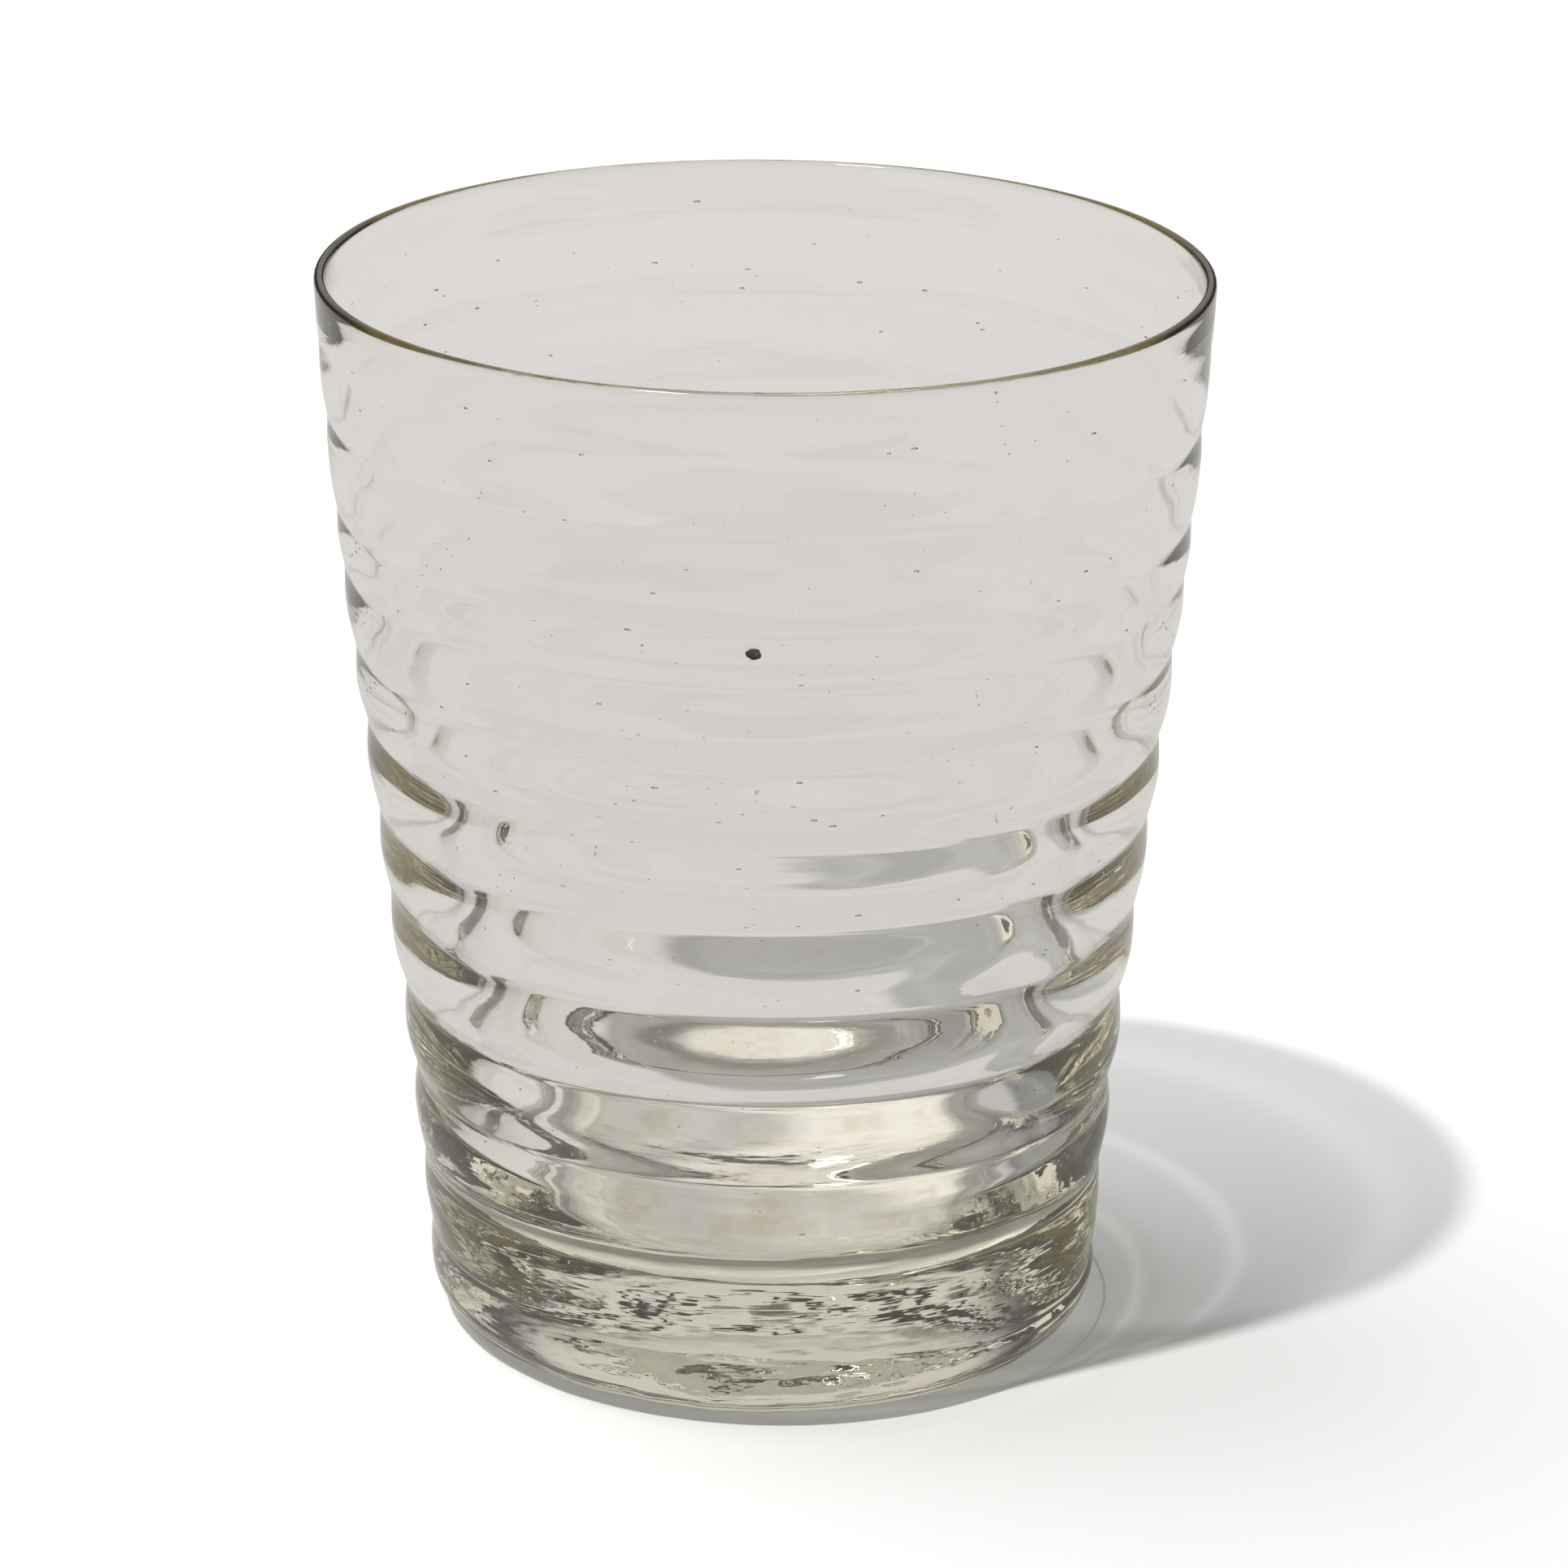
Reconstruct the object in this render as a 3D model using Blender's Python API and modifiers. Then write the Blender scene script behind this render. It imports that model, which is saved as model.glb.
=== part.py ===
"""Beer glass: a mould-blown tumbler, ringed from foot to lip, with a furnace stone in its wall.

Units are metres and +Z is up. The origin is the centre of the standing ring, on the surface
that the glass stands on. The stone faces -Y.
"""

import math

import bpy

# Overall form
HEIGHT = 0.1067
RIM_RADIUS = 0.0428
FOOT_RADIUS = 0.0330
FOOT_SLOPE = 0.05  # metres that the wall leans out per metre of height, at the foot
RIM_SLOPE = 0.035  # the same, at the rim

# Rings blown into the wall, told by the grooves between them
FOOT_GROOVE_HEIGHT = 0.0072
RING_PITCH = 0.00903
CLOSE_RING_PITCH = 0.0074
CLOSE_RINGS_START = 0.0600  # height above which the rings draw together
LIP_BAND = 0.0141  # plain band from the topmost groove up to the rim
GROOVE_REACH = 0.0045  # how far a groove draws the wall in above and below itself
FOOT_GROOVE_DEPTH = 0.0008
LIP_GROOVE_DEPTH = 0.0004
INNER_RIPPLE_SHARE = 0.2  # how much of the ring relief shows on the inside

# Wall, lip and base
RIM_WALL = 0.0015
LOW_WALL = 0.0080
WALL_FALL = 3.5  # how fast the wall thins on its way up from the base
BASE_THICKNESS = 0.0110
FLOOR_FILLET = 0.0120
HEEL_RADIUS = 0.0048
STANDING_RING_WIDTH = 0.0042
KICK_HEIGHT = 0.0010

# Furnace stone caught in the wall
STONE_WIDTH = 0.0014
STONE_TALLNESS = 0.0010
STONE_DEPTH = 0.0008
STONE_HEIGHT = 0.0814
STONE_BEARING = math.radians(-0.9)  # turn about +Z, away from -Y
STONE_COVER = 0.00005  # outermost point of the stone below the glass's outer face
STONE_CLEARANCE = 0.00015

# Mesh fineness
TURN_STEPS = 48
STEPS_PER_RING = 4
INNER_STEPS = 20
ARC_STEPS = 4
KICK_STEPS = 4
STONE_SUBDIVISIONS = 3
MERGE_DISTANCE = 0.000001

# Colours
GLASS_COLOUR = (0.90, 0.92, 0.90, 1.0)
GLASS_ROUGHNESS = 0.03
GLASS_IOR = 1.50
STONE_COLOUR = (0.055, 0.035, 0.020, 1.0)
STONE_ROUGHNESS = 0.65


def clear_scene():
    """Remove every object that the scene starts with."""
    for item in list(bpy.data.objects):
        bpy.data.objects.remove(item)


def make_collection(name):
    """Make a collection and link it to the scene."""
    collection = bpy.data.collections.new(name)
    bpy.context.scene.collection.children.link(collection)
    return collection


def make_material(name, colour, roughness):
    """Make a plain Principled material and return it with its shader."""
    material = bpy.data.materials.new(name)
    material.use_nodes = True
    material.diffuse_color = colour
    shader = material.node_tree.nodes["Principled BSDF"]
    shader.inputs["Base Color"].default_value = colour
    shader.inputs["Roughness"].default_value = roughness
    shader.inputs["Metallic"].default_value = 0.0
    return material, shader


def make_glass_material():
    """Clear, faintly grey-green soda-lime glass."""
    material, shader = make_material("clear_glass", GLASS_COLOUR, GLASS_ROUGHNESS)
    shader.inputs["Transmission Weight"].default_value = 1.0
    shader.inputs["IOR"].default_value = GLASS_IOR
    return material


def make_stone_material():
    """Dark brown, dull furnace stone."""
    return make_material("furnace_stone", STONE_COLOUR, STONE_ROUGHNESS)[0]


def envelope_radius(z):
    """Outer radius over the rings' crests: a cubic that leaves the foot and meets the rim at set slopes."""
    t = z / HEIGHT
    rim_weight = t * t * (3 - 2 * t)
    foot_lean = HEIGHT * FOOT_SLOPE * t * (1 - t) ** 2
    rim_lean = HEIGHT * RIM_SLOPE * t * t * (1 - t)
    return FOOT_RADIUS + (RIM_RADIUS - FOOT_RADIUS) * rim_weight + foot_lean - rim_lean


def groove_heights():
    """Heights of the grooves from the foot up, with the topmost one a lip band below the rim."""
    top = HEIGHT - LIP_BAND
    heights = []
    z = FOOT_GROOVE_HEIGHT
    while z < top - CLOSE_RING_PITCH / 2:
        heights.append(z)
        z += RING_PITCH if z < CLOSE_RINGS_START else CLOSE_RING_PITCH
    heights.append(top)
    return heights


def groove_depth(z):
    """Depth of a groove at height z, running evenly from the foot's depth to the lip's."""
    return FOOT_GROOVE_DEPTH + (LIP_GROOVE_DEPTH - FOOT_GROOVE_DEPTH) * z / HEIGHT


def outer_radius(z):
    """Outer radius with the rings: round crests that meet in sharp grooves."""
    radius = envelope_radius(z)
    for groove in groove_heights():
        away = min(1.0, abs(z - groove) / GROOVE_REACH)
        radius -= groove_depth(groove) * (1 - math.sin(away * math.pi / 2))
    return radius


def wall_thickness(z):
    """Wall thickness, falling fast above the base and then slowly towards the rim."""
    share = (HEIGHT - z) / (HEIGHT - BASE_THICKNESS)
    return RIM_WALL + (LOW_WALL - RIM_WALL) * share ** WALL_FALL


def inner_radius(z):
    """Inner radius, rippled softly in step with the rings outside."""
    radius = envelope_radius(z) - wall_thickness(z)
    for groove in groove_heights():
        away = min(1.0, abs(z - groove) / GROOVE_REACH)
        depth = groove_depth(groove) * INNER_RIPPLE_SHARE
        radius -= depth * (1 + math.cos(away * math.pi)) / 2
    return radius


def arc(centre_x, centre_z, radius, start, end, steps):
    """Points along an arc in the XZ plane, ends included. Angles in degrees from +X."""
    points = []
    for step in range(steps + 1):
        angle = math.radians(start + (end - start) * step / steps)
        points.append((centre_x + radius * math.cos(angle), centre_z + radius * math.sin(angle)))
    return points


def inner_points():
    """Inside of the cup, from the middle of its floor up to the lip."""
    corner_top = BASE_THICKNESS + FLOOR_FILLET
    corner_x = inner_radius(corner_top) - FLOOR_FILLET
    points = [(0.0, BASE_THICKNESS)]
    points += arc(corner_x, corner_top, FLOOR_FILLET, -90, 0, ARC_STEPS)
    lip = HEIGHT - RIM_WALL / 2
    for step in range(1, INNER_STEPS + 1):
        z = corner_top + (lip - corner_top) * step / (INNER_STEPS + 1)
        points.append((inner_radius(z), z))
    return points


def ring_points():
    """Outside of the wall, from below the lip down to above the heel."""
    lip = HEIGHT - RIM_WALL / 2
    stops = [HEEL_RADIUS] + groove_heights() + [lip]
    heights = []
    for low, high in zip(stops[:-1], stops[1:]):
        heights += [low + (high - low) * step / STEPS_PER_RING for step in range(STEPS_PER_RING)]
    return [(outer_radius(z), z) for z in reversed(heights[1:])]


def lip_points():
    """Fire-polished lip, a half round from the inside over to the outside."""
    half = RIM_WALL / 2
    return arc(outer_radius(HEIGHT - half) - half, HEIGHT - half, half, 180, 0, 2 * ARC_STEPS)


def foot_points():
    """Round heel, flat standing ring and the shallow kick under the base."""
    heel_x = outer_radius(HEEL_RADIUS) - HEEL_RADIUS
    points = arc(heel_x, HEEL_RADIUS, HEEL_RADIUS, 0, -90, ARC_STEPS)
    ring_x = heel_x - STANDING_RING_WIDTH
    for step in range(KICK_STEPS + 1):
        share = step / KICK_STEPS
        rise = KICK_HEIGHT * (1 - math.cos(share * math.pi)) / 2
        points.append((ring_x * (1 - share), rise))
    return points


def make_mesh_object(name, mesh, collection, material):
    """Make an object of a mesh, smooth shaded, in a collection, with a material."""
    item = bpy.data.objects.new(name, mesh)
    mesh.materials.append(material)
    mesh.shade_smooth()
    collection.objects.link(item)
    return item


def make_glass_body(collection, material):
    """Turn the whole profile into the glass, one closed body."""
    profile = inner_points() + lip_points() + ring_points() + foot_points()
    mesh = bpy.data.meshes.new("glass_profile")
    vertices = [(x, 0.0, z) for x, z in profile]
    edges = [(index, index + 1) for index in range(len(vertices) - 1)]
    mesh.from_pydata(vertices, edges, [])
    body = make_mesh_object("glass_body", mesh, collection, material)
    turn = body.modifiers.new("turn", "SCREW")
    turn.axis = "Z"
    turn.steps = TURN_STEPS
    turn.render_steps = TURN_STEPS
    turn.use_merge_vertices = True
    turn.merge_threshold = MERGE_DISTANCE
    turn.use_smooth_shade = True
    return body


def make_pebble(name, clearance, collection, material):
    """Make the stone's pebble shape, grown by a clearance all round, at its place in the wall."""
    bpy.ops.mesh.primitive_ico_sphere_add(subdivisions=STONE_SUBDIVISIONS, radius=1.0)
    start = bpy.context.object
    mesh = start.data
    bpy.data.objects.remove(start)
    pebble = make_mesh_object(name, mesh, collection, material)
    half_sizes = (STONE_WIDTH / 2, STONE_DEPTH / 2, STONE_TALLNESS / 2)
    for vertex in mesh.vertices:
        vertex.co = [value * (half + clearance) for value, half in zip(vertex.co, half_sizes)]
    reach = outer_radius(STONE_HEIGHT) - STONE_COVER - STONE_DEPTH / 2
    across = reach * math.sin(STONE_BEARING)
    out = reach * math.cos(STONE_BEARING)
    pebble.location = (across, -out, STONE_HEIGHT)
    pebble.rotation_euler = (0.0, 0.0, STONE_BEARING)
    return pebble


def cut(body, cutter):
    """Cut a cutter's shape out of a body."""
    cutter.hide_render = True
    cutter.display_type = "WIRE"
    difference = body.modifiers.new("pit", "BOOLEAN")
    difference.operation = "DIFFERENCE"
    difference.solver = "EXACT"
    difference.object = cutter


def main():
    """Build the glass and the stone in its wall."""
    clear_scene()
    parts = make_collection("beer_glass")
    cutters = make_collection("cutters")
    glass = make_glass_material()
    stone = make_stone_material()
    body = make_glass_body(parts, glass)
    cut(body, make_pebble("stone_pit", STONE_CLEARANCE, cutters, glass))
    make_pebble("stone_inclusion", 0.0, parts, stone)


main()
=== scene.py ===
"""Looks of a mould-blown beer glass: the ringed tumbler, its seeds and its furnace stone.

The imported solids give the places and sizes. Units are metres, +Z is up, and the glass stands
on its foot at the origin with the stone towards -Y, the side that the camera sees.
"""

import logging
import math
import random
from dataclasses import dataclass, field
from enum import Enum
from typing import Any

import bmesh
import bpy
from mathutils import Matrix, Vector, noise


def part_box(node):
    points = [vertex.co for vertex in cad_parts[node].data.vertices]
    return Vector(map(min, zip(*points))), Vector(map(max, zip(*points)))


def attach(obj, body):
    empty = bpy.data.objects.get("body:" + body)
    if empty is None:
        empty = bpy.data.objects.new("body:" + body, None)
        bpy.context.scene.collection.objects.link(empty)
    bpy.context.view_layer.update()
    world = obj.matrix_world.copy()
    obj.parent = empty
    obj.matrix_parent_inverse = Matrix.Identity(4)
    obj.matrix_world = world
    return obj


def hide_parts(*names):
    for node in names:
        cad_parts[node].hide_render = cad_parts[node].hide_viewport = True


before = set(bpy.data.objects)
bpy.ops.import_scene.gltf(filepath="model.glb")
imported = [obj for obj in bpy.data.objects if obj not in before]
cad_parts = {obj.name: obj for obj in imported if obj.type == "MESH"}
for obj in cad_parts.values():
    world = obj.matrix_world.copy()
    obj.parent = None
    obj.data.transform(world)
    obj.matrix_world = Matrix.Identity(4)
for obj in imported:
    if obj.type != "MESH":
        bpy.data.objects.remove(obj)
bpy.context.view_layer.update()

MM = 0.001
PHOTO_SIDE = 1932
FOCAL_LENGTH = 7772
CAMERA_PLACE = Vector((1.40, -582.7, 265.8)) * MM
CAMERA_PITCH = 0.3484
CAMERA_ROLL = 0.0165
LIGHT_BOUNCES = 80
Colour = tuple[float, float, float, float]

log = logging.getLogger("beer_glass")


def smooth_step(low: float, high: float, value: float) -> float:
    """Rise smoothly from 0 at low to 1 at high.

    Args:
        low: Value at which the rise starts.
        high: Value at which the rise ends.
        value: Value to place on the rise.

    Returns:
        Share of the rise, from 0 to 1.
    """
    share = min(1.0, max(0.0, (value - low) / (high - low)))
    return share * share * (3 - 2 * share)


class Face(Enum):
    """Face of the glass that a point lies on."""

    INSIDE = 0
    OUTSIDE = 1
    UNDERSIDE = 2


@dataclass
class Graph:
    """Node tree with short calls for adding and joining nodes."""

    tree: bpy.types.NodeTree

    def add(self, kind: str, inputs: dict[str | int, Any], **settings: Any) -> bpy.types.Node:
        """Add a node.

        Args:
            kind: Type of the node.
            inputs: Sockets to join or plain values to set, by input name or number.
            settings: Other settings of the node.

        Returns:
            The node.
        """
        node = self.tree.nodes.new(kind)
        for name, value in settings.items():
            setattr(node, name, value)
        for key, value in inputs.items():
            self.feed(node.inputs[key], value)
        return node

    def feed(self, socket: bpy.types.NodeSocket, value: Any) -> None:
        """Join a socket to another one, or set its plain value."""
        if isinstance(value, bpy.types.NodeSocket):
            self.tree.links.new(value, socket)
        else:
            socket.default_value = value

    def math(self, operation: str, *values: Any) -> bpy.types.NodeSocket:
        """Join sockets or plain values in a math node."""
        return self.add("ShaderNodeMath", dict(enumerate(values)), operation=operation).outputs[0]

    def rise(
        self, value: Any, low: float, high: float, start: float = 0.0, end: float = 1.0,
    ) -> bpy.types.NodeSocket:
        """Rise smoothly from start to end while value goes from low to high."""
        inputs = {"Value": value, "From Min": low, "From Max": high, "To Min": start, "To Max": end}
        return self.add("ShaderNodeMapRange", inputs, interpolation_type="SMOOTHSTEP").outputs[0]

    def blend(self, factor: Any, first: Any, second: Any) -> bpy.types.NodeSocket:
        """Blend from one value to another."""
        return self.add("ShaderNodeMix", {"Factor": factor, "A": first, "B": second}).outputs["Result"]

    def flatness(self) -> bpy.types.NodeSocket:
        """Give 1 where the surface lies level, as on the floor and the underside, and 0 on the wall."""
        facing = self.add("ShaderNodeNewGeometry", {}).outputs["Normal"]
        up = self.add("ShaderNodeSeparateXYZ", {0: facing}).outputs["Z"]
        return self.rise(self.math("ABSOLUTE", up), 0.5, 0.95)

    def place(self, axis: str) -> bpy.types.NodeSocket:
        """Give the place along an axis of the object."""
        place = self.add("ShaderNodeTexCoord", {}).outputs["Object"]
        return self.add("ShaderNodeSeparateXYZ", {0: place}).outputs[axis]

    def radius(self) -> bpy.types.NodeSocket:
        """Give the distance from the upright axis of the object."""
        x, y = self.place("X"), self.place("Y")
        return self.math("SQRT", self.math("MULTIPLY_ADD", x, x, self.math("MULTIPLY", y, y)))

    def grain(self, scale: tuple[float, float, float], detail: float) -> bpy.types.NodeSocket:
        """Make noise of a number of grains per metre along each axis."""
        inputs = {"Scale": scale, "Detail": detail}
        return self.add("ShaderNodeGroup", inputs, node_tree=grain_group()).outputs["Value"]


def grain_group() -> bpy.types.NodeTree:
    """Make the noise that several finishes share, or give the one made before.

    Returns:
        Node group with the grains per metre and the detail as inputs and a value as output.
    """
    made = bpy.data.node_groups.get("grain")
    if made is not None:
        return made
    tree = bpy.data.node_groups.new("grain", "ShaderNodeTree")
    tree.interface.new_socket("Scale", in_out="INPUT", socket_type="NodeSocketVector")
    tree.interface.new_socket("Detail", in_out="INPUT", socket_type="NodeSocketFloat")
    tree.interface.new_socket("Value", in_out="OUTPUT", socket_type="NodeSocketFloat")
    graph = Graph(tree)
    given = graph.add("NodeGroupInput", {}).outputs
    place = graph.add("ShaderNodeTexCoord", {}).outputs["Object"]
    mapped = graph.add("ShaderNodeVectorMath", {0: place, 1: given["Scale"]}, operation="MULTIPLY")
    inputs = {"Vector": mapped.outputs[0], "Scale": 1.0, "Detail": given["Detail"]}
    graph.add("NodeGroupOutput", {"Value": graph.add("ShaderNodeTexNoise", inputs).outputs[0]})
    return tree


@dataclass(frozen=True)
class Groove:
    """One groove between two rings of the wall.

    Attributes:
        height: Mean height of the groove above the foot.
        depth: How far it draws the outer wall in, at the sides.
        swing: Share by which it is deeper at the front and shallower at the back.
        climb: How far it climbs above its mean height, at its highest point.
        bearing: Direction of its highest point, in radians from +X.
        reach: How far it draws the wall in above and below itself.
    """

    height: float
    depth: float
    swing: float
    climb: float
    bearing: float
    reach: float

    def pull(self, z: float, turn: float) -> tuple[float, float]:
        """Give the sharp and the soft pull of this groove on the wall.

        Args:
            z: Height of the point.
            turn: Bearing of the point, in radians from +X.

        Returns:
            Pull of a sharp groove and pull of a soft one.
        """
        if abs(z - self.height) > self.reach + self.climb:
            return 0.0, 0.0
        middle = self.height + self.climb * math.cos(turn - self.bearing)
        away = abs(z - middle) / self.reach
        if away >= 1:
            return 0.0, 0.0
        depth = self.depth * (1 - self.swing * math.sin(turn))
        sharp = depth * (1 - math.sin(away * math.pi / 2))
        soft = depth * (1 + math.cos(away * math.pi)) / 2
        return sharp, soft


@dataclass
class Tumbler:
    """The blown glass with its rings, lip, thick base and foot.

    Attributes:
        height: Height of the glass.
        rim_radius: Outer radius at the rim.
        foot_radius: Outer radius at the foot.
        foot_slope: How far the wall leans out per height, at the foot.
        rim_slope: The same, at the rim.
        rim_wall: Thickness of the lip.
        high_wall: Thickness of the wall below the lip.
        lip_taper: Height over which the lip thins.
        low_wall: Thickness of the wall at the floor.
        wall_power: How fast the wall thins on its way up.
        base_thickness: Height of the floor above the foot.
        floor_fillet: Radius between the floor and the wall inside.
        heel_radius: Radius of the heel.
        ring_width: Width of the ring that the glass stands on.
        kick_height: Height of the hollow under the base.
        inner_share: How much of the upper rings shows on the inside.
        low_sharpness: How sharp the lower grooves are, from 0 to 1.
        high_sharpness: The same for the upper grooves.
        soft_start: Height at which the grooves start to soften.
        soft_end: Height at which they are at their softest.
        lean: Shift to the side per height.
        oval: How much the rim's radius swings to an oval.
        rim_dip: How far the rim dips at the left.
        dip_start: Share of the height at which the dip starts.
        wall_wobble: How far the wall wavers.
        wobble_turn: Waves of the wall about the axis.
        wobble_rise: Height of one wave of the wall.
        inner_shift: Shift of the waves on the inside, in waves.
        base_wobble: How far the floor and the underside swell.
        swell_size: Size of one swell.
        swell_edge: Height over which the swell starts above the standing ring.
        turn_steps: Steps about the axis.
        outer_steps: Steps of the outside.
        inner_steps: Steps of the inside.
        floor_steps: Steps of the floor.
        kick_steps: Steps of the hollow under the base.
        arc_steps: Steps of each arc.
        grooves: Grooves between the rings.
    """

    height: float
    rim_radius: float
    foot_radius: float = 33.0 * MM
    foot_slope: float = 0.05
    rim_slope: float = 0.035
    rim_wall: float = 1.1 * MM
    high_wall: float = 1.4 * MM
    lip_taper: float = 6.0 * MM
    low_wall: float = 8.0 * MM
    wall_power: float = 3.5
    base_thickness: float = 11.0 * MM
    floor_fillet: float = 12.0 * MM
    heel_radius: float = 4.8 * MM
    ring_width: float = 4.2 * MM
    kick_height: float = 1.0 * MM
    inner_share: float = 0.3
    low_sharpness: float = 0.8
    high_sharpness: float = 0.6
    soft_start: float = 60.0 * MM
    soft_end: float = 73.0 * MM
    lean: float = -0.0111
    oval: float = 0.3 * MM
    rim_dip: float = 0.5 * MM
    dip_start: float = 0.6
    wall_wobble: float = 0.10 * MM
    wobble_turn: float = 2.2
    wobble_rise: float = 9.0 * MM
    inner_shift: float = 3.7
    base_wobble: float = 0.14 * MM
    swell_size: float = 6.0 * MM
    swell_edge: float = 0.6 * MM
    turn_steps: int = 200
    outer_steps: int = 200
    inner_steps: int = 110
    floor_steps: int = 36
    kick_steps: int = 36
    arc_steps: int = 12
    grooves: list[Groove] = field(default_factory=list)

    def envelope(self, z: float) -> float:
        """Give the outer radius over the crests of the rings at height z."""
        t = z / self.height
        gain = (self.rim_radius - self.foot_radius) * t * t * (3 - 2 * t)
        foot_lean = self.height * self.foot_slope * t * (1 - t) ** 2
        rim_lean = self.height * self.rim_slope * t * t * (1 - t)
        return self.foot_radius + gain + foot_lean - rim_lean

    def wall(self, z: float) -> float:
        """Give the wall's thickness at height z."""
        share = (self.height - z) / (self.height - self.base_thickness)
        taper = smooth_step(self.height - self.lip_taper, self.height, z)
        even = self.high_wall + (self.low_wall - self.high_wall) * share ** self.wall_power
        return even + (self.rim_wall - self.high_wall) * taper

    def arc(self, middle: Vector, radius: float, start: float, end: float) -> list[Vector]:
        """Lay points along an arc in the XZ plane.

        Args:
            middle: Centre of the arc.
            radius: Radius of the arc.
            start: First angle, in degrees from +X.
            end: Last angle, in degrees from +X.

        Returns:
            Points from the first angle to the last.
        """
        step = math.radians(end - start) / self.arc_steps
        turns = [math.radians(start) + step * n for n in range(self.arc_steps + 1)]
        return [middle + radius * Vector((math.cos(turn), 0, math.sin(turn))) for turn in turns]

    def inside_section(self) -> list[Vector]:
        """Lay out the inside, from the middle of the floor up to the lip.

        Returns:
            Points of the section in the XZ plane.
        """
        corner = self.base_thickness + self.floor_fillet
        corner_x = self.envelope(corner) - self.wall(corner) - self.floor_fillet
        lip = self.height - self.rim_wall / 2
        step = corner_x / self.floor_steps
        points = [Vector((step * n, 0, self.base_thickness)) for n in range(self.floor_steps)]
        points += self.arc(Vector((corner_x, 0, corner)), self.floor_fillet, -90, 0)
        for n in range(1, self.inner_steps):
            z = corner + (lip - corner) * n / self.inner_steps
            points.append(Vector((self.envelope(z) - self.wall(z), 0, z)))
        return points

    def outside_section(self) -> list[Vector]:
        """Lay out the lip and the outside, down to the heel.

        Returns:
            Points of the section in the XZ plane.
        """
        half = self.rim_wall / 2
        lip = self.height - half
        points = self.arc(Vector((self.envelope(lip) - half, 0, lip)), half, 180, 0)
        for n in range(1, self.outer_steps):
            z = lip + (self.heel_radius - lip) * n / self.outer_steps
            points.append(Vector((self.envelope(z), 0, z)))
        return points

    def under_section(self) -> list[Vector]:
        """Lay out the heel, the standing ring and the kick under the base.

        Returns:
            Points of the section in the XZ plane.
        """
        heel_x = self.envelope(self.heel_radius) - self.heel_radius
        points = self.arc(Vector((heel_x, 0, self.heel_radius)), self.heel_radius, 0, -90)
        ring_x = heel_x - self.ring_width
        points += [Vector((heel_x - self.ring_width * n / 4, 0, 0)) for n in range(1, 4)]
        for n in range(self.kick_steps + 1):
            share = n / self.kick_steps
            rise = self.kick_height * (1 - math.cos(share * math.pi)) / 2
            points.append(Vector((ring_x * (1 - share), 0, rise)))
        return points

    def relief(self, z: float, turn: float, face: Face) -> float:
        """Give how far the rings draw a face of the wall in.

        Args:
            z: Height of the point.
            turn: Bearing of the point, in radians from +X.
            face: Face that the point lies on.

        Returns:
            Distance towards the axis.
        """
        share = smooth_step(self.soft_start, self.soft_end, z)
        sharpness = self.low_sharpness + (self.high_sharpness - self.low_sharpness) * share
        total = 0.0
        for groove in self.grooves:
            sharp, soft = groove.pull(z, turn)
            if face is Face.INSIDE:
                total += soft * self.inner_share * share
            else:
                total += soft + (sharp - soft) * sharpness
        return total

    def hand_made(self, point: Vector, face: Face) -> Vector:
        """Move a point of the even turned form to its place on the hand-made glass.

        Args:
            point: Point on the even form.
            face: Face that the point lies on.

        Returns:
            The moved point.
        """
        turn = math.atan2(point.y, point.x)
        radius = math.hypot(point.x, point.y)
        z = point.z
        spot = Vector((point.x, point.y, z)) / self.swell_size
        swell = self.base_wobble * (1 + noise.noise(spot) + 0.5 * noise.noise(spot * 2.3))
        if face is Face.UNDERSIDE:
            return Vector((point.x, point.y, z + swell * smooth_step(0.0, self.swell_edge, z)))
        fade = smooth_step(0.0, self.heel_radius, z)
        if face is Face.INSIDE:
            fade = smooth_step(self.base_thickness, self.base_thickness + self.floor_fillet, z)
            z += swell * (1 - fade)
        radius -= self.relief(z, turn, face) * fade
        side = self.inner_shift if face is Face.INSIDE else 0.0
        spot = Vector((math.cos(turn), math.sin(turn), 0)) * self.wobble_turn
        spot.z = z / self.wobble_rise + side
        radius += self.wall_wobble * noise.noise(spot) * fade
        radius += self.oval * z / self.height * math.cos(2 * turn)
        left = radius * math.cos(turn) + self.lean * z
        dip = self.rim_dip * smooth_step(self.dip_start, 1.0, z / self.height)
        z -= dip * (1 - math.cos(turn)) / 2
        return Vector((left, radius * math.sin(turn), z))

    def in_wall(self, turn: float, z: float, share: float) -> Vector:
        """Find a place inside the wall.

        Args:
            turn: Bearing of the place, in radians from +X.
            z: Height of the place.
            share: Share of the wall's thickness that lies outside the place.

        Returns:
            The place.
        """
        out = Vector((math.cos(turn), math.sin(turn), 0))
        skin = self.hand_made(out * self.envelope(z) + Vector((0, 0, z)), Face.OUTSIDE)
        return skin - out * self.wall(z) * share

    def build(self) -> bmesh.types.BMesh:
        """Turn the section into the glass and give it its hand-made form.

        Returns:
            The glass as a mesh in work.
        """
        shape = bmesh.new()
        layer = shape.verts.layers.int.new("face")
        previous = None
        sections = (self.inside_section(), self.outside_section(), self.under_section())
        for face, points in zip(Face, sections):
            for point in points:
                vert = shape.verts.new(point)
                vert[layer] = face.value
                if previous is not None:
                    shape.edges.new((previous, vert))
                previous = vert
        bmesh.ops.spin(
            shape, geom=shape.verts[:] + shape.edges[:], cent=(0, 0, 0), axis=(0, 0, 1), dvec=(0, 0, 0),
            angle=math.tau, steps=self.turn_steps, use_merge=True, use_duplicate=False,
        )
        bmesh.ops.remove_doubles(shape, verts=shape.verts, dist=0.000001)
        bmesh.ops.recalc_face_normals(shape, faces=shape.faces)
        for vert in shape.verts:
            vert.co = self.hand_made(vert.co, Face(vert[layer]))
        shape.verts.layers.int.remove(layer)
        return shape


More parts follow.
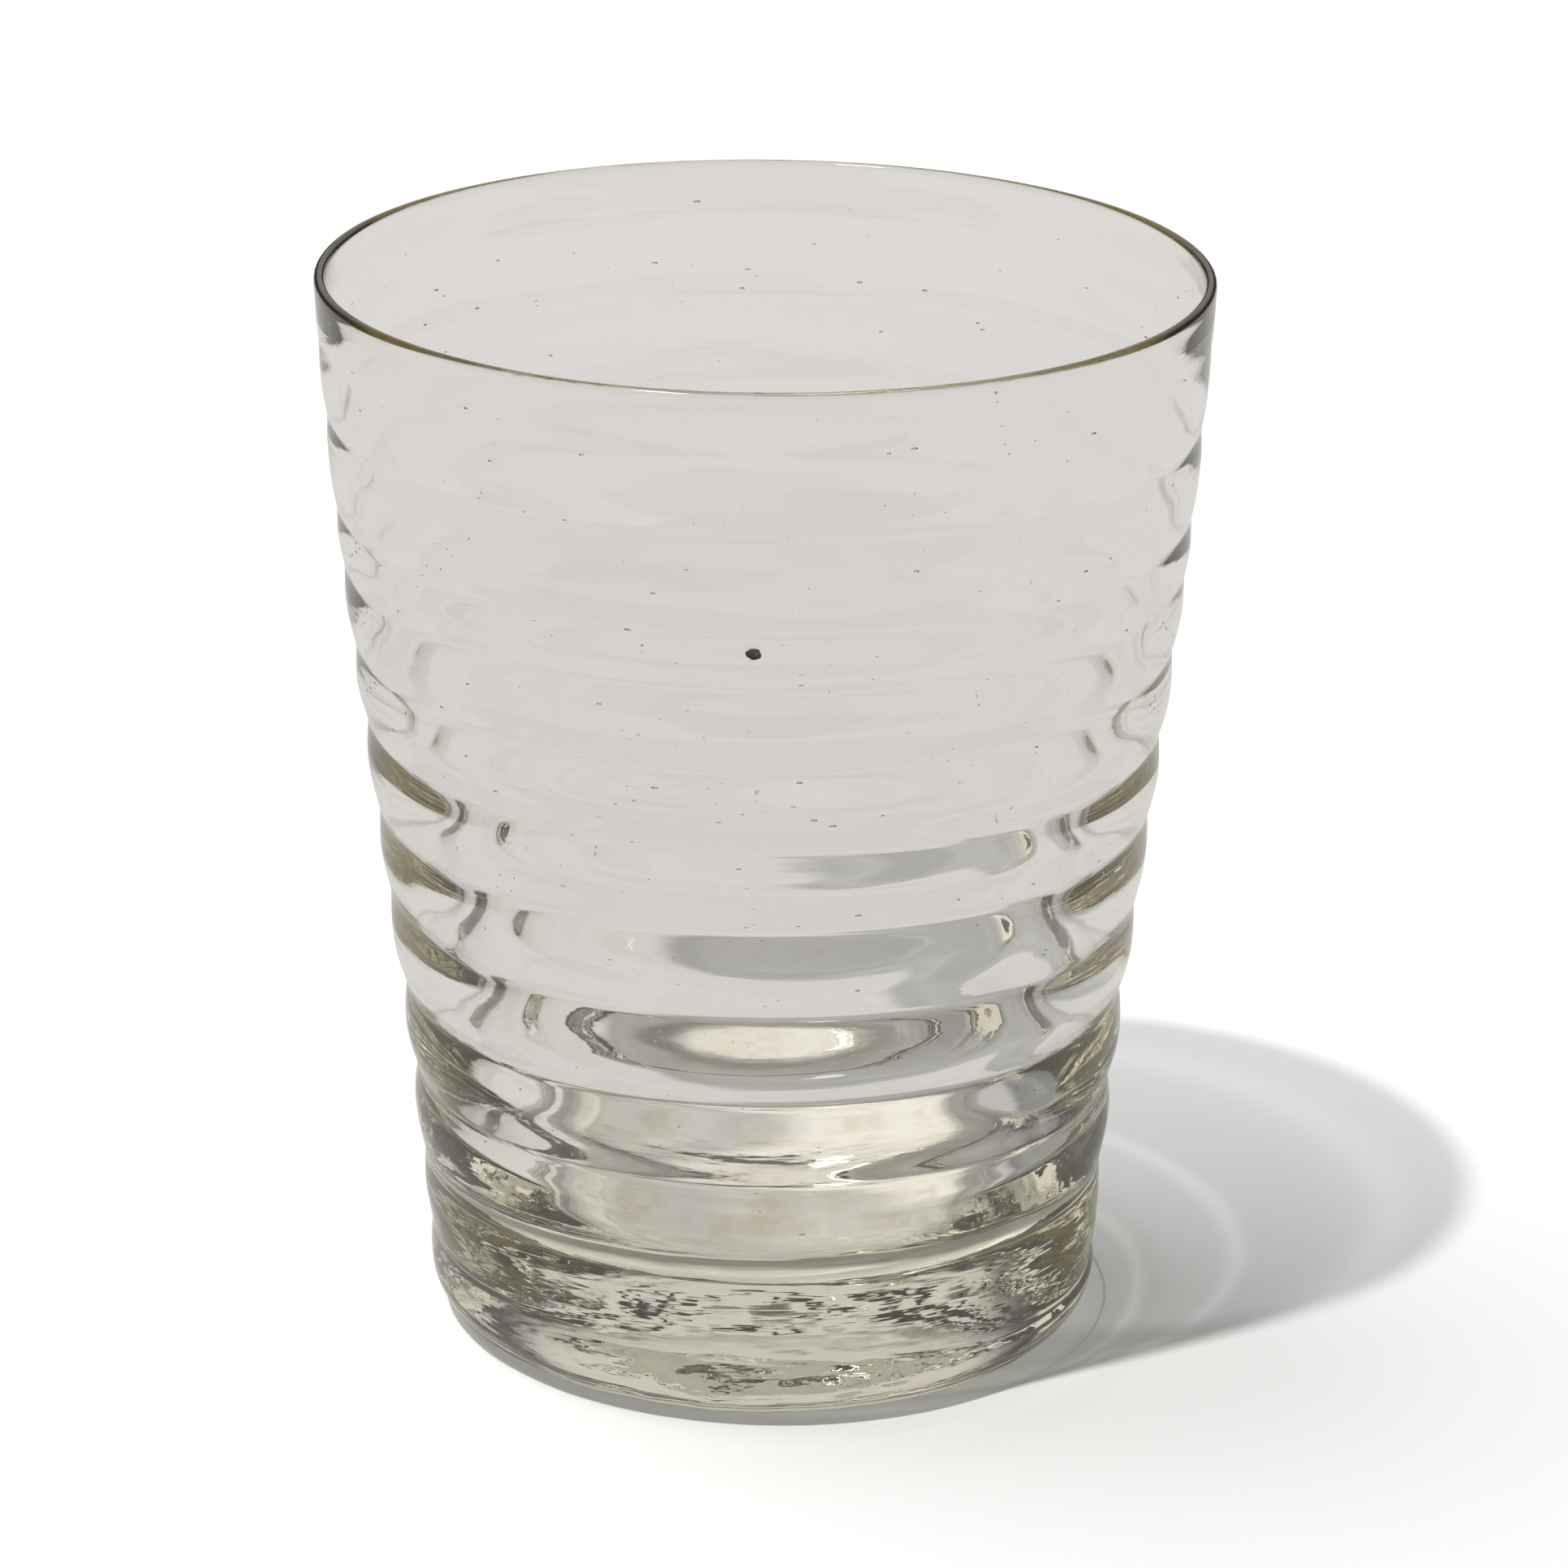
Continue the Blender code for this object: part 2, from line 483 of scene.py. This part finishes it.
@dataclass(frozen=True)
class Seeds:
    """Small bubbles left in the wall, drawn out sideways by the blowing.

    Attributes:
        count: Number of bubbles.
        seed: Seed of the random places.
        smallest: Radius of the smallest bubble.
        largest: Radius of the largest bubble.
        lowest: Height of the lowest bubble.
        lip: Height below the rim that stays clear.
        depths: Least share of the wall outside a bubble, and the range above it.
        stretch: Least and most that a bubble is drawn out sideways.
        flatness: Height of a bubble against its depth.
    """

    count: int = 520
    seed: int = 11
    smallest: float = 0.05 * MM
    largest: float = 0.17 * MM
    lowest: float = 20.0 * MM
    lip: float = 4.0 * MM
    depths: tuple[float, float] = (0.4, 0.25)
    stretch: tuple[float, float] = (1.2, 2.6)
    flatness: float = 0.7

    def add_to(self, shape: bmesh.types.BMesh, tumbler: Tumbler) -> None:
        """Add the bubbles to the glass as hollows.

        Args:
            shape: The glass as a mesh in work.
            tumbler: The form of the glass.
        """
        chance = random.Random(self.seed)
        bubbles = bmesh.new()
        for _ in range(self.count):
            turn = chance.uniform(0, math.tau)
            z = chance.uniform(self.lowest, tumbler.height - self.lip)
            size = self.smallest + (self.largest - self.smallest) * chance.random() ** 2
            place = tumbler.in_wall(turn, z, self.depths[0] + self.depths[1] * chance.random())
            width = size * chance.uniform(*self.stretch)
            sizes = Matrix.Diagonal((size, width, size * self.flatness, 1))
            matrix = Matrix.Translation(place) @ Matrix.Rotation(turn, 4, "Z") @ sizes
            bmesh.ops.create_uvsphere(bubbles, u_segments=6, v_segments=4, radius=1, matrix=matrix)
        bmesh.ops.reverse_faces(bubbles, faces=bubbles.faces)
        mesh = bpy.data.meshes.new("seeds")
        bubbles.to_mesh(mesh)
        bubbles.free()
        shape.from_mesh(mesh)
        bpy.data.meshes.remove(mesh)


@dataclass(frozen=True)
class Stone:
    """Furnace stone caught in the front of the wall.

    Attributes:
        middle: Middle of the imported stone.
        sizes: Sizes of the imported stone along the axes.
        lumps: How lumpy the stone is.
        cover: Share of the wall's thickness outside the middle of the stone.
    """

    middle: Vector
    sizes: Vector
    lumps: float = 0.22
    cover: float = 0.4

    def build(self, tumbler: Tumbler) -> bmesh.types.BMesh:
        """Make the lumpy stone inside the wall.

        Args:
            tumbler: The form of the glass.

        Returns:
            The stone as a mesh in work.
        """
        shape = bmesh.new()
        bmesh.ops.create_icosphere(shape, subdivisions=4, radius=1)
        bearing = math.atan2(self.middle.y, self.middle.x)
        place = tumbler.in_wall(bearing, self.middle.z, self.cover)
        for vert in shape.verts:
            swell = 1 + self.lumps * (noise.noise(vert.co * 1.3) + 0.6 * noise.noise(vert.co * 3.1))
            vert.co = place + Vector(a * b * swell / 2 for a, b in zip(vert.co, self.sizes))
        bmesh.ops.recalc_face_normals(shape, faces=shape.faces)
        return shape


@dataclass(frozen=True)
class GlassFinish:
    """Clear, faintly olive glass that lets part of the lamp light through to the floor.

    Attributes:
        tint: Colour of the surface.
        stain: Colour of the streaks on the level faces.
        depth_tint: Colour that the light takes on in the depth of the glass.
        depth_density: Strength of that colour, per metre.
        ior: Refractive index.
        mottle: Height of the mottle on the underside.
        mottle_scale: Grains of the mottle per metre.
        low_streaks: Height of the streaks on the base.
        high_streaks: Height of the streaks on the wall above it.
        mottle_end: Heights between which the mottle ends.
        streak_change: Heights between which the streaks fade to those of the wall.
        stain_range: Noise values between which the stain appears.
        arcs: Height, reach and gain of each pale arc that the wall casts.
        high_share: Share of light through the inner face, and through the outer one at the rim.
        low_share: Share of light through the outer face below the middle.
        foot_share: Part of that share that is left at the foot.
        level_share: Share of light through the floor and the underside.
        wall_red: Red part of the light through a wall, against green and blue.
        foot_rise: Heights between which the foot's share rises to the wall's.
        wall_rise: Heights between which the low share rises to the high one.
        taper: Lean of the wall, as radius per height, used to tell its two faces apart.
        outer_edge: Radii at the foot between which the inner face gives way to the outer one.
        base_edge: Radii between which the level faces end.
    """

    tint: Colour = (0.985, 0.980, 0.978, 1.0)
    stain: Colour = (0.80, 0.72, 0.62, 1.0)
    depth_tint: Colour = (0.95, 0.85, 0.37, 1.0)
    depth_density: float = 5.8
    ior: float = 1.5
    mottle: float = 0.10 * MM
    mottle_scale: float = 350.0
    low_streaks: float = 0.03 * MM
    high_streaks: float = 0.004 * MM
    mottle_end: tuple[float, float] = (15 * MM, 20 * MM)
    streak_change: tuple[float, float] = (11 * MM, 22 * MM)
    stain_range: tuple[float, float] = (0.45, 0.75)
    arcs: tuple[tuple[float, float, float], ...] = (
        (15 * MM, 4 * MM, 0.20),
        (41 * MM, 5 * MM, 0.25),
        (82 * MM, 11 * MM, 0.16),
    )
    high_share: float = 0.62
    low_share: float = 0.48
    foot_share: float = 0.75
    level_share: float = 1.0
    wall_red: float = 0.96
    foot_rise: tuple[float, float] = (6 * MM, 30 * MM)
    wall_rise: tuple[float, float] = (50 * MM, 112 * MM)
    taper: float = 0.13
    outer_edge: tuple[float, float] = (28.5 * MM, 29.1 * MM)
    base_edge: tuple[float, float] = (26 * MM, 28 * MM)

    def make(self) -> bpy.types.Material:
        """Make the material.

        Returns:
            The material.
        """
        material = bpy.data.materials.new("blown_clear_glass")
        material.use_nodes = True
        graph = Graph(material.node_tree)
        shader = graph.tree.nodes["Principled BSDF"]
        out = graph.tree.nodes["Material Output"]
        graph.feed(shader.inputs["Base Color"], self.stained(graph))
        shader.inputs["Roughness"].default_value = 0.0
        shader.inputs["IOR"].default_value = self.ior
        shader.inputs["Transmission Weight"].default_value = 1.0
        graph.feed(shader.inputs["Normal"], self.uneven(graph))
        through = graph.add("ShaderNodeBsdfTransparent", {"Color": self.shade(graph)})
        lamp_ray = graph.add("ShaderNodeLightPath", {}).outputs["Is Shadow Ray"]
        mix = graph.add("ShaderNodeMixShader", {0: lamp_ray, 1: shader.outputs[0], 2: through.outputs[0]})
        inputs = {"Color": self.depth_tint, "Density": self.depth_density}
        body = graph.add("ShaderNodeVolumeAbsorption", inputs)
        graph.feed(out.inputs["Surface"], mix.outputs[0])
        graph.feed(out.inputs["Volume"], body.outputs[0])
        return material

    def uneven(self, graph: Graph) -> bpy.types.NodeSocket:
        """Mottle the underside and draw fine level streaks on the wall.

        Args:
            graph: Node tree of the material.

        Returns:
            Socket with the normal.
        """
        low = graph.rise(graph.place("Z"), *self.mottle_end, self.mottle, 0.0)
        where = graph.math("MULTIPLY", graph.flatness(), low)
        mottle = graph.math("MULTIPLY", graph.grain((self.mottle_scale,) * 3, 1.5), where)
        streaks = graph.rise(
            graph.place("Z"), *self.streak_change, self.low_streaks, self.high_streaks,
        )
        relief = graph.math("MULTIPLY_ADD", graph.grain((60, 60, 900), 2.0), streaks, mottle)
        return graph.add("ShaderNodeBump", {"Height": relief, "Distance": 1.0}).outputs[0]

    def stained(self, graph: Graph) -> bpy.types.NodeSocket:
        """Stain the level faces with faint brown streaks.

        Args:
            graph: Node tree of the material.

        Returns:
            Socket with the colour.
        """
        spots = graph.rise(graph.grain((160, 420, 420), 3.0), *self.stain_range)
        where = graph.math("MULTIPLY", graph.flatness(), spots)
        inputs = {0: where, 6: self.tint, 7: self.stain}
        return graph.add("ShaderNodeMix", inputs, data_type="RGBA").outputs[2]

    def shade(self, graph: Graph) -> bpy.types.NodeSocket:
        """Make the share of lamp light that each face lets through.

        The outer face of the wall carries the pale arcs that the rings cast on the floor. The
        inner face and the level faces of the base let an even share through.

        Args:
            graph: Node tree of the material.

        Returns:
            Socket with the share as a colour.
        """
        z, radius = graph.place("Z"), graph.radius()
        arcs = 0.0
        for height, reach, gain in self.arcs:
            away = graph.math("ABSOLUTE", graph.math("SUBTRACT", z, height))
            arcs = graph.math("ADD", arcs, graph.rise(away, 0.0, reach, gain, 0.0))
        foot = graph.rise(z, *self.foot_rise, self.foot_share, 1.0)
        plain = graph.rise(z, *self.wall_rise, self.low_share, self.high_share)
        outer = graph.math("MULTIPLY_ADD", plain, foot, arcs)
        upright = graph.math("MULTIPLY_ADD", z, -self.taper, radius)
        wall = graph.blend(graph.rise(upright, *self.outer_edge), self.high_share, outer)
        level = graph.math("MULTIPLY", graph.flatness(), graph.rise(radius, *self.base_edge, 1.0, 0.0))
        share = graph.blend(level, wall, self.level_share)
        red = graph.math("MULTIPLY", share, graph.rise(level, 0.0, 1.0, self.wall_red, 1.0))
        return graph.add("ShaderNodeCombineXYZ", {0: red, 1: share, 2: share}).outputs[0]


@dataclass(frozen=True)
class StoneFinish:
    """Dull, dark brown furnace stone.

    Attributes:
        dark: Colour of most of the stone.
        pale: Colour of its spots.
    """

    dark: Colour = (0.030, 0.020, 0.012, 1.0)
    pale: Colour = (0.16, 0.11, 0.06, 1.0)

    def make(self) -> bpy.types.Material:
        """Make the material.

        Returns:
            The material.
        """
        material = bpy.data.materials.new("brown_furnace_stone")
        material.use_nodes = True
        graph = Graph(material.node_tree)
        shader = graph.tree.nodes["Principled BSDF"]
        spots = graph.rise(graph.grain((2500, 2500, 2500), 2.0), 0.45, 0.7)
        blend = graph.add("ShaderNodeMix", {0: spots, 6: self.dark, 7: self.pale}, data_type="RGBA")
        graph.feed(shader.inputs["Base Color"], blend.outputs[2])
        shader.inputs["Roughness"].default_value = 0.65
        return material


@dataclass(frozen=True)
class Studio:
    """Pale floor, plain backdrop, dim room, and two lamps, one small and one broad.

    Attributes:
        floor_half: Half of the floor's side.
        floor_gap: How far the floor lies below the foot.
        floor_tint: Colour of the floor, seen through the glass.
        floor_white: Level of the floor that the camera sees.
        floor_grey: Level of the near floor, seen through the glass.
        floor_far: Level of the far floor, seen through the glass.
        far_rise: Distances behind the glass between which the near level gives way to the far one.
        under_base_painted_light: Level of the floor under the base, which only shows through the glass.
            It is
            painted paler than the floor around it: a painted pool of light in place of the light that a
            real base gathers there, which is not traced.
        painted_light_edge: Radii between which that painted pool of light ends.
        backdrop: Strength of the pale backdrop behind the glass.
        card_low: Heights between which the backdrop starts, in a direction of length 1.
        card_high: Heights between which it ends.
        card_width: Distances to the side between which it ends.
        card_front: Distances to the back between which it starts.
        card_bow: How much its lower edge bows up towards the sides.
        room: Strength of the room around it.
        room_tint: Colour of the room and the backdrop.
        fill: Strength of the even light that the room gives the floor.
        lamp_tint: Colour of both lamps.
        lamp_heading: Bearing of the small lamp, in radians from the left towards the front.
        lamp_height: Height of the small lamp, in radians above the floor.
        lamp_angle: Width of the small lamp, in radians.
        lamp_strength: Strength of the small lamp.
        glow_angle: Half width of the lamp's image in the glass, in radians.
        lamp_glow: Strength of that image.
        soft_heading: Bearing of the broad lamp, in radians from the left towards the front.
        soft_height: Height of the broad lamp, in radians above the floor.
        soft_angle: Width of the broad lamp, in radians.
        soft_strength: Strength of the broad lamp.
    """

    floor_half: float = 1.2
    floor_gap: float = 0.1 * MM
    floor_tint: tuple[float, float, float] = (1.0, 0.99, 0.975)
    floor_white: float = 1.0
    floor_grey: float = 0.64
    floor_far: float = 0.69
    far_rise: tuple[float, float] = (0.1, 0.5)
    under_base_painted_light: float = 0.97
    painted_light_edge: tuple[float, float] = (24 * MM, 34 * MM)
    backdrop: float = 0.62
    card_low: tuple[float, float] = (0.07, 0.15)
    card_high: tuple[float, float] = (0.45, 0.65)
    card_width: tuple[float, float] = (0.40, 0.65)
    card_front: tuple[float, float] = (0.0, 0.2)
    card_bow: float = 0.35
    room: float = 0.06
    room_tint: Colour = (1.0, 0.985, 0.985, 1.0)
    fill: float = 0.14
    lamp_tint: tuple[float, float, float] = (1.0, 0.985, 0.97)
    lamp_heading: float = math.radians(45)
    lamp_height: float = math.radians(66.5)
    lamp_angle: float = math.radians(2)
    lamp_strength: float = 1.95
    glow_angle: float = math.radians(5)
    lamp_glow: float = 30.0
    soft_heading: float = math.radians(-20)
    soft_height: float = math.radians(63)
    soft_angle: float = math.radians(40)
    soft_strength: float = 1.3

    def towards(self, heading: float, height: float) -> Vector:
        """Give the direction from the glass to a lamp.

        Args:
            heading: Bearing of the lamp, in radians from the left towards the front.
            height: Height of the lamp, in radians above the floor.

        Returns:
            Direction of length 1.
        """
        flat = math.cos(height)
        return Vector((-math.cos(heading) * flat, -math.sin(heading) * flat, math.sin(height)))

    def lay_floor(self) -> None:
        """Lay the floor, white to the camera and pale grey in the glass, with painted light under the
        base.
        """
        shape = bmesh.new()
        bmesh.ops.create_grid(shape, x_segments=1, y_segments=1, size=self.floor_half)
        bmesh.ops.translate(shape, verts=shape.verts, vec=(0, 0, -self.floor_gap))
        floor = make_object("floor", shape)
        floor.data.materials.append(self.floor_material())

    def floor_material(self) -> bpy.types.Material:
        """Make the floor's material.

        Returns:
            The material.
        """
        material = bpy.data.materials.new("floor")
        material.use_nodes = True
        graph = Graph(material.node_tree)
        graph.tree.nodes.clear()
        white = self.floor_white
        around = graph.rise(graph.place("Y"), *self.far_rise, self.floor_grey, self.floor_far)
        # Under the base the floor is painted paler: a painted pool of light in place of the light that a
        # real base gathers there, which is not traced.
        level = graph.blend(graph.rise(graph.radius(), *self.painted_light_edge), self.under_base_painted_light, around)
        inputs = {0: self.floor_tint, "Scale": level}
        grey = graph.add("ShaderNodeVectorMath", inputs, operation="SCALE")
        pale = graph.add("ShaderNodeBsdfDiffuse", {"Color": grey.outputs[0]})
        clean = graph.add("ShaderNodeBsdfDiffuse", {"Color": (white, white, white, 1)})
        seen = graph.add("ShaderNodeLightPath", {}).outputs["Is Camera Ray"]
        mix = graph.add("ShaderNodeMixShader", {0: seen, 1: pale.outputs[0], 2: clean.outputs[0]})
        graph.add("ShaderNodeOutputMaterial", {"Surface": mix.outputs[0]})
        return material

    def hang_world(self) -> None:
        """Surround the glass with the backdrop and the room."""
        world = bpy.data.worlds.new("studio")
        bpy.context.scene.world = world
        world.use_nodes = True
        world.cycles.sampling_method = "NONE"
        graph = Graph(world.node_tree)
        graph.tree.nodes.clear()
        way = graph.add("ShaderNodeTexCoord", {}).outputs["Generated"]
        split = graph.add("ShaderNodeSeparateXYZ", {0: way})
        path = graph.add("ShaderNodeLightPath", {})
        across = graph.math("ABSOLUTE", split.outputs["X"])
        bowed = graph.math("MULTIPLY_ADD", across, -self.card_bow, split.outputs["Z"])
        low = graph.rise(bowed, *self.card_low)
        high = graph.rise(split.outputs["Z"], *self.card_high, 1.0, 0.0)
        wide = graph.rise(across, *self.card_width, 1.0, 0.0)
        behind = graph.rise(split.outputs["Y"], *self.card_front)
        card = graph.math("MULTIPLY", graph.math("MULTIPLY", low, high), wide)
        card = graph.math("MULTIPLY", card, behind)
        view = graph.blend(card, self.room, self.backdrop)
        lamp = self.towards(self.lamp_heading, self.lamp_height)
        dot = graph.add("ShaderNodeVectorMath", {0: way, 1: lamp}, operation="DOT_PRODUCT")
        edges = (math.cos(self.glow_angle * 1.1), math.cos(self.glow_angle * 0.9))
        disc = graph.rise(dot.outputs["Value"], *edges, 0.0, self.lamp_glow)
        bounced = graph.math("GREATER_THAN", path.outputs["Diffuse Depth"], 0.5)
        strength = graph.blend(bounced, graph.math("ADD", view, disc), self.fill)
        room = graph.add("ShaderNodeBackground", {"Color": self.room_tint, "Strength": strength})
        white = graph.add("ShaderNodeBackground", {"Color": (1, 1, 1, 1)})
        seen = path.outputs["Is Camera Ray"]
        mix = graph.add("ShaderNodeMixShader", {0: seen, 1: room.outputs[0], 2: white.outputs[0]})
        graph.add("ShaderNodeOutputWorld", {"Surface": mix.outputs[0]})

    def hang_lamps(self) -> None:
        """Light the glass with a small lamp at the front left and a broad one at the back left."""
        small = self.towards(self.lamp_heading, self.lamp_height)
        broad = self.towards(self.soft_heading, self.soft_height)
        lamps = (
            ("key", self.lamp_strength, self.lamp_angle, small),
            ("key_soft", self.soft_strength, self.soft_angle, broad),
        )
        for name, strength, angle, way in lamps:
            light = bpy.data.lights.new(name, "SUN")
            light.energy = strength
            light.angle = angle
            light.color = self.lamp_tint
            light.cycles.use_multiple_importance_sampling = False
            lamp = bpy.data.objects.new(name, light)
            bpy.context.scene.collection.objects.link(lamp)
            lamp.rotation_euler = way.to_track_quat("Z", "Y").to_euler()

    def place_camera(self) -> None:
        """Place the camera where the photograph was taken from."""
        data = bpy.data.cameras.new("camera")
        data.sensor_width = 36
        data.lens = data.sensor_width * FOCAL_LENGTH / PHOTO_SIDE
        data.clip_start = 0.01
        camera = bpy.data.objects.new("camera", data)
        bpy.context.scene.collection.objects.link(camera)
        down = Matrix.Rotation(math.pi / 2 - CAMERA_PITCH, 4, "X")
        turn = down @ Matrix.Rotation(CAMERA_ROLL, 4, "Z")
        camera.matrix_world = Matrix.Translation(CAMERA_PLACE) @ turn
        bpy.context.scene.camera = camera


def make_object(name: str, shape: bmesh.types.BMesh) -> bpy.types.Object:
    """Make an object of a finished mesh.

    Args:
        name: Name of the object.
        shape: Mesh in work, freed here.

    Returns:
        The object.
    """
    mesh = bpy.data.meshes.new(name)
    shape.to_mesh(mesh)
    shape.free()
    mesh.shade_smooth()
    piece = bpy.data.objects.new(name, mesh)
    bpy.context.scene.collection.objects.link(piece)
    log.info("%s: %d faces", name, len(mesh.polygons))
    return piece


@dataclass
class BeerGlass:
    """The whole object: the blown glass with its seeds, and the stone in its wall.

    Attributes:
        tumbler: Form of the blown glass.
        seeds: Bubbles in its wall.
        stone: Stone in its wall.
        pieces: Finished objects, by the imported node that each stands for.
    """

    tumbler: Tumbler
    seeds: Seeds
    stone: Stone
    pieces: dict[str, bpy.types.Object] = field(default_factory=dict)

    def build(self) -> None:
        """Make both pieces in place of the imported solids."""
        glass = self.tumbler.build()
        self.seeds.add_to(glass, self.tumbler)
        self.pieces["glass_body"] = make_object("blown_glass", glass)
        self.pieces["stone_inclusion"] = make_object("stone", self.stone.build(self.tumbler))
        for node, piece in self.pieces.items():
            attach(piece, "root")
            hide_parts(node)

    def dress(self, glass: GlassFinish, stone: StoneFinish) -> None:
        """Give each piece its finish.

        Args:
            glass: Finish of the blown glass.
            stone: Finish of the stone.
        """
        body, lump = self.pieces["glass_body"], self.pieces["stone_inclusion"]
        body.data.materials.append(glass.make())
        lump.data.materials.append(stone.make())


def wall_grooves() -> list[Groove]:
    """Lay out the grooves of the wall, from the foot up to the lip.

    Returns:
        The grooves.
    """
    rows = (
        (7.2, 0.40, -0.75, 1.5, 180, 4.5), (16.3, 0.38, 0.20, 0.3, 115, 4.5),
        (25.3, 0.75, 0.33, 0.2, 230, 4.5), (34.5, 0.75, 0.33, 0.3, 57, 4.5),
        (43.8, 0.42, 0.20, 0.2, 170, 4.5), (52.6, 0.45, 0.36, 0.3, 315, 4.5),
        (61.4, 0.60, 0.33, 0.3, 150, 4.5), (69.7, 0.42, 0.50, 0.4, 35, 4.2),
        (77.2, 0.24, 0.50, 0.5, 250, 3.4), (83.5, 0.24, 0.40, 0.4, 103, 3.2),
        (92.6, 0.24, 0.40, 0.4, 200, 3.2), (100.3, 0.08, 0.00, 0.3, 20, 3.0),
    )
    return [
        Groove(z * MM, depth * MM, swing, climb * MM, math.radians(bearing), reach * MM)
        for z, depth, swing, climb, bearing, reach in rows
    ]


def main() -> None:
    """Build the glass to the imported size, dress it and set it in the studio."""
    logging.basicConfig(level=logging.INFO)
    bpy.context.scene.view_settings.view_transform = "Standard"
    bpy.context.scene.cycles.blur_glossy = 0.0
    bpy.context.scene.cycles.max_bounces = LIGHT_BOUNCES
    bpy.context.scene.cycles.glossy_bounces = LIGHT_BOUNCES
    bpy.context.scene.cycles.transmission_bounces = LIGHT_BOUNCES
    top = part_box("glass_body")[1]
    low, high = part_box("stone_inclusion")
    tumbler = Tumbler(height=top.z, rim_radius=top.x, grooves=wall_grooves())
    glass = BeerGlass(tumbler, Seeds(), Stone((low + high) / 2, high - low))
    glass.build()
    glass.dress(GlassFinish(), StoneFinish())
    studio = Studio()
    studio.lay_floor()
    studio.hang_world()
    studio.hang_lamps()
    studio.place_camera()


if __name__ == "__main__":
    main()
